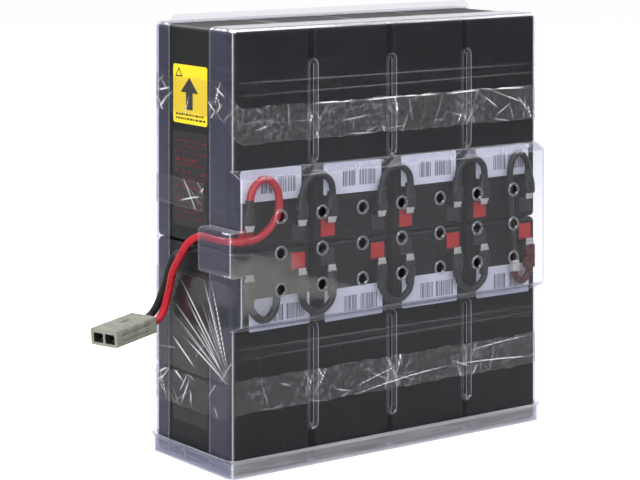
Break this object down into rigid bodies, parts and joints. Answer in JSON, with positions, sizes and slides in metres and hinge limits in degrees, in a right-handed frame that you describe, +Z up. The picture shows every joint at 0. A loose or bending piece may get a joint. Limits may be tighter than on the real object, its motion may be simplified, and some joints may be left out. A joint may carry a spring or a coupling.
{
  "type": "rack battery pack",
  "caption": "Clear-cased rack battery pack of series-wired sealed blocks, with vented terminal band, taped shells and a flying lead ending in a power connector.",
  "frame": {"origin": "centre of the base tray's underside", "axes": "+X along the front from left to right, +Y from the front panel to the back, +Z up"},
  "size_m": [0.3435, 0.1133, 0.3105],
  "materials": {
    "clear_shell": "clear thermoformed polyester, slightly violet at the folds",
    "case_abs": "satin black moulded plastic",
    "lid_abs": "satin black moulded plastic",
    "lead_grey": "dull cast lead alloy",
    "valve_rubber": "soft black rubber",
    "red_insert": "glossy red plastic",
    "black_insert": "glossy black plastic",
    "tinned_tab": "tin-plated brass",
    "spring_steel": "spring steel",
    "sleeve_black": "translucent black sleeve",
    "sleeve_red": "reddish brown translucent sleeve",
    "wire_black": "black flexible insulation",
    "wire_red": "red flexible insulation",
    "connector_grey": "grey moulded polycarbonate",
    "label_yellow": "printed yellow label",
    "label_dark": "dark printed label",
    "label_white": "white printed label",
    "foam": "closed-cell foam sheet",
    "clear_tape": "clear packing tape"
  },
  "bodies": {
    "pack": {"base_tray": "clear_shell", "battery_case_1": "case_abs", "battery_case_2": "case_abs", "battery_case_3": "case_abs", "battery_case_4": "case_abs", "battery_case_5": "case_abs", "battery_case_6": "case_abs", "battery_case_7": "case_abs", "battery_case_8": "case_abs", "battery_lid_1": "lid_abs", "battery_lid_2": "lid_abs", "battery_lid_3": "lid_abs", "battery_lid_4": "lid_abs", "battery_lid_5": "lid_abs", "battery_lid_6": "lid_abs", "battery_lid_7": "lid_abs", "battery_lid_8": "lid_abs", "cell_straps": "lead_grey", "column_separators": "foam", "front_shell": "clear_shell", "jumper_lower_1": "wire_black", "jumper_lower_2": "wire_black", "jumper_lower_3": "wire_black", "jumper_upper_1": "wire_black", "jumper_upper_2": "wire_black", "jumper_upper_3": "wire_black", "lead_black_inner": "wire_black", "lead_red_inner": "wire_red", "lid_labels": "label_white", "link_crimp": "tinned_tab", "link_pigtail": "sleeve_red", "link_sleeve": "sleeve_red", "negative_inserts": "black_insert", "negative_tabs": "tinned_tab", "orientation_label": "label_yellow", "plate_stacks_lower": "lead_grey", "plate_stacks_upper": "lead_grey", "positive_inserts": "red_insert", "positive_tabs": "tinned_tab", "rear_foam_pad": "foam", "rear_shell": "clear_shell", "receptacle_sleeves": "sleeve_black", "row_link_wire": "wire_black", "side_labels": "label_dark", "tab_receptacles": "tinned_tab", "tape_lower": "clear_tape", "tape_upper": "clear_tape", "valve_caps": "valve_rubber", "vent_cover_strips": "lid_abs"},
    "lead_upper": {"lead_red_upper": "wire_red", "lead_black_upper": "wire_black"},
    "lead_lower": {"lead_red_lower": "wire_red", "lead_black_lower": "wire_black"},
    "connector": {"connector_housing": "connector_grey", "connector_contacts": "tinned_tab", "contact_springs": "spring_steel", "connector_stub_red": "wire_red", "connector_stub_black": "wire_black"}
  },
  "joints": [
    {"name": "lead_spread", "type": "hinge", "parent": "pack", "child": "lead_upper", "pos_m": [-0.142, -0.0192, 0.157], "axis": [0, 0, 1], "range_deg": [0, 55]},
    {"name": "lead_lift", "type": "hinge", "parent": "lead_upper", "child": "lead_lower", "pos_m": [-0.1465, 0.0095, 0.14], "axis": [1, 0, 0], "range_deg": [-25, 60]},
    {"name": "connector_tilt", "type": "hinge", "parent": "lead_lower", "child": "connector", "pos_m": [-0.1532, 0.0314, 0.0965], "axis": [0.2797, -0.9601, 0], "range_deg": [-35, 35]}
  ]
}
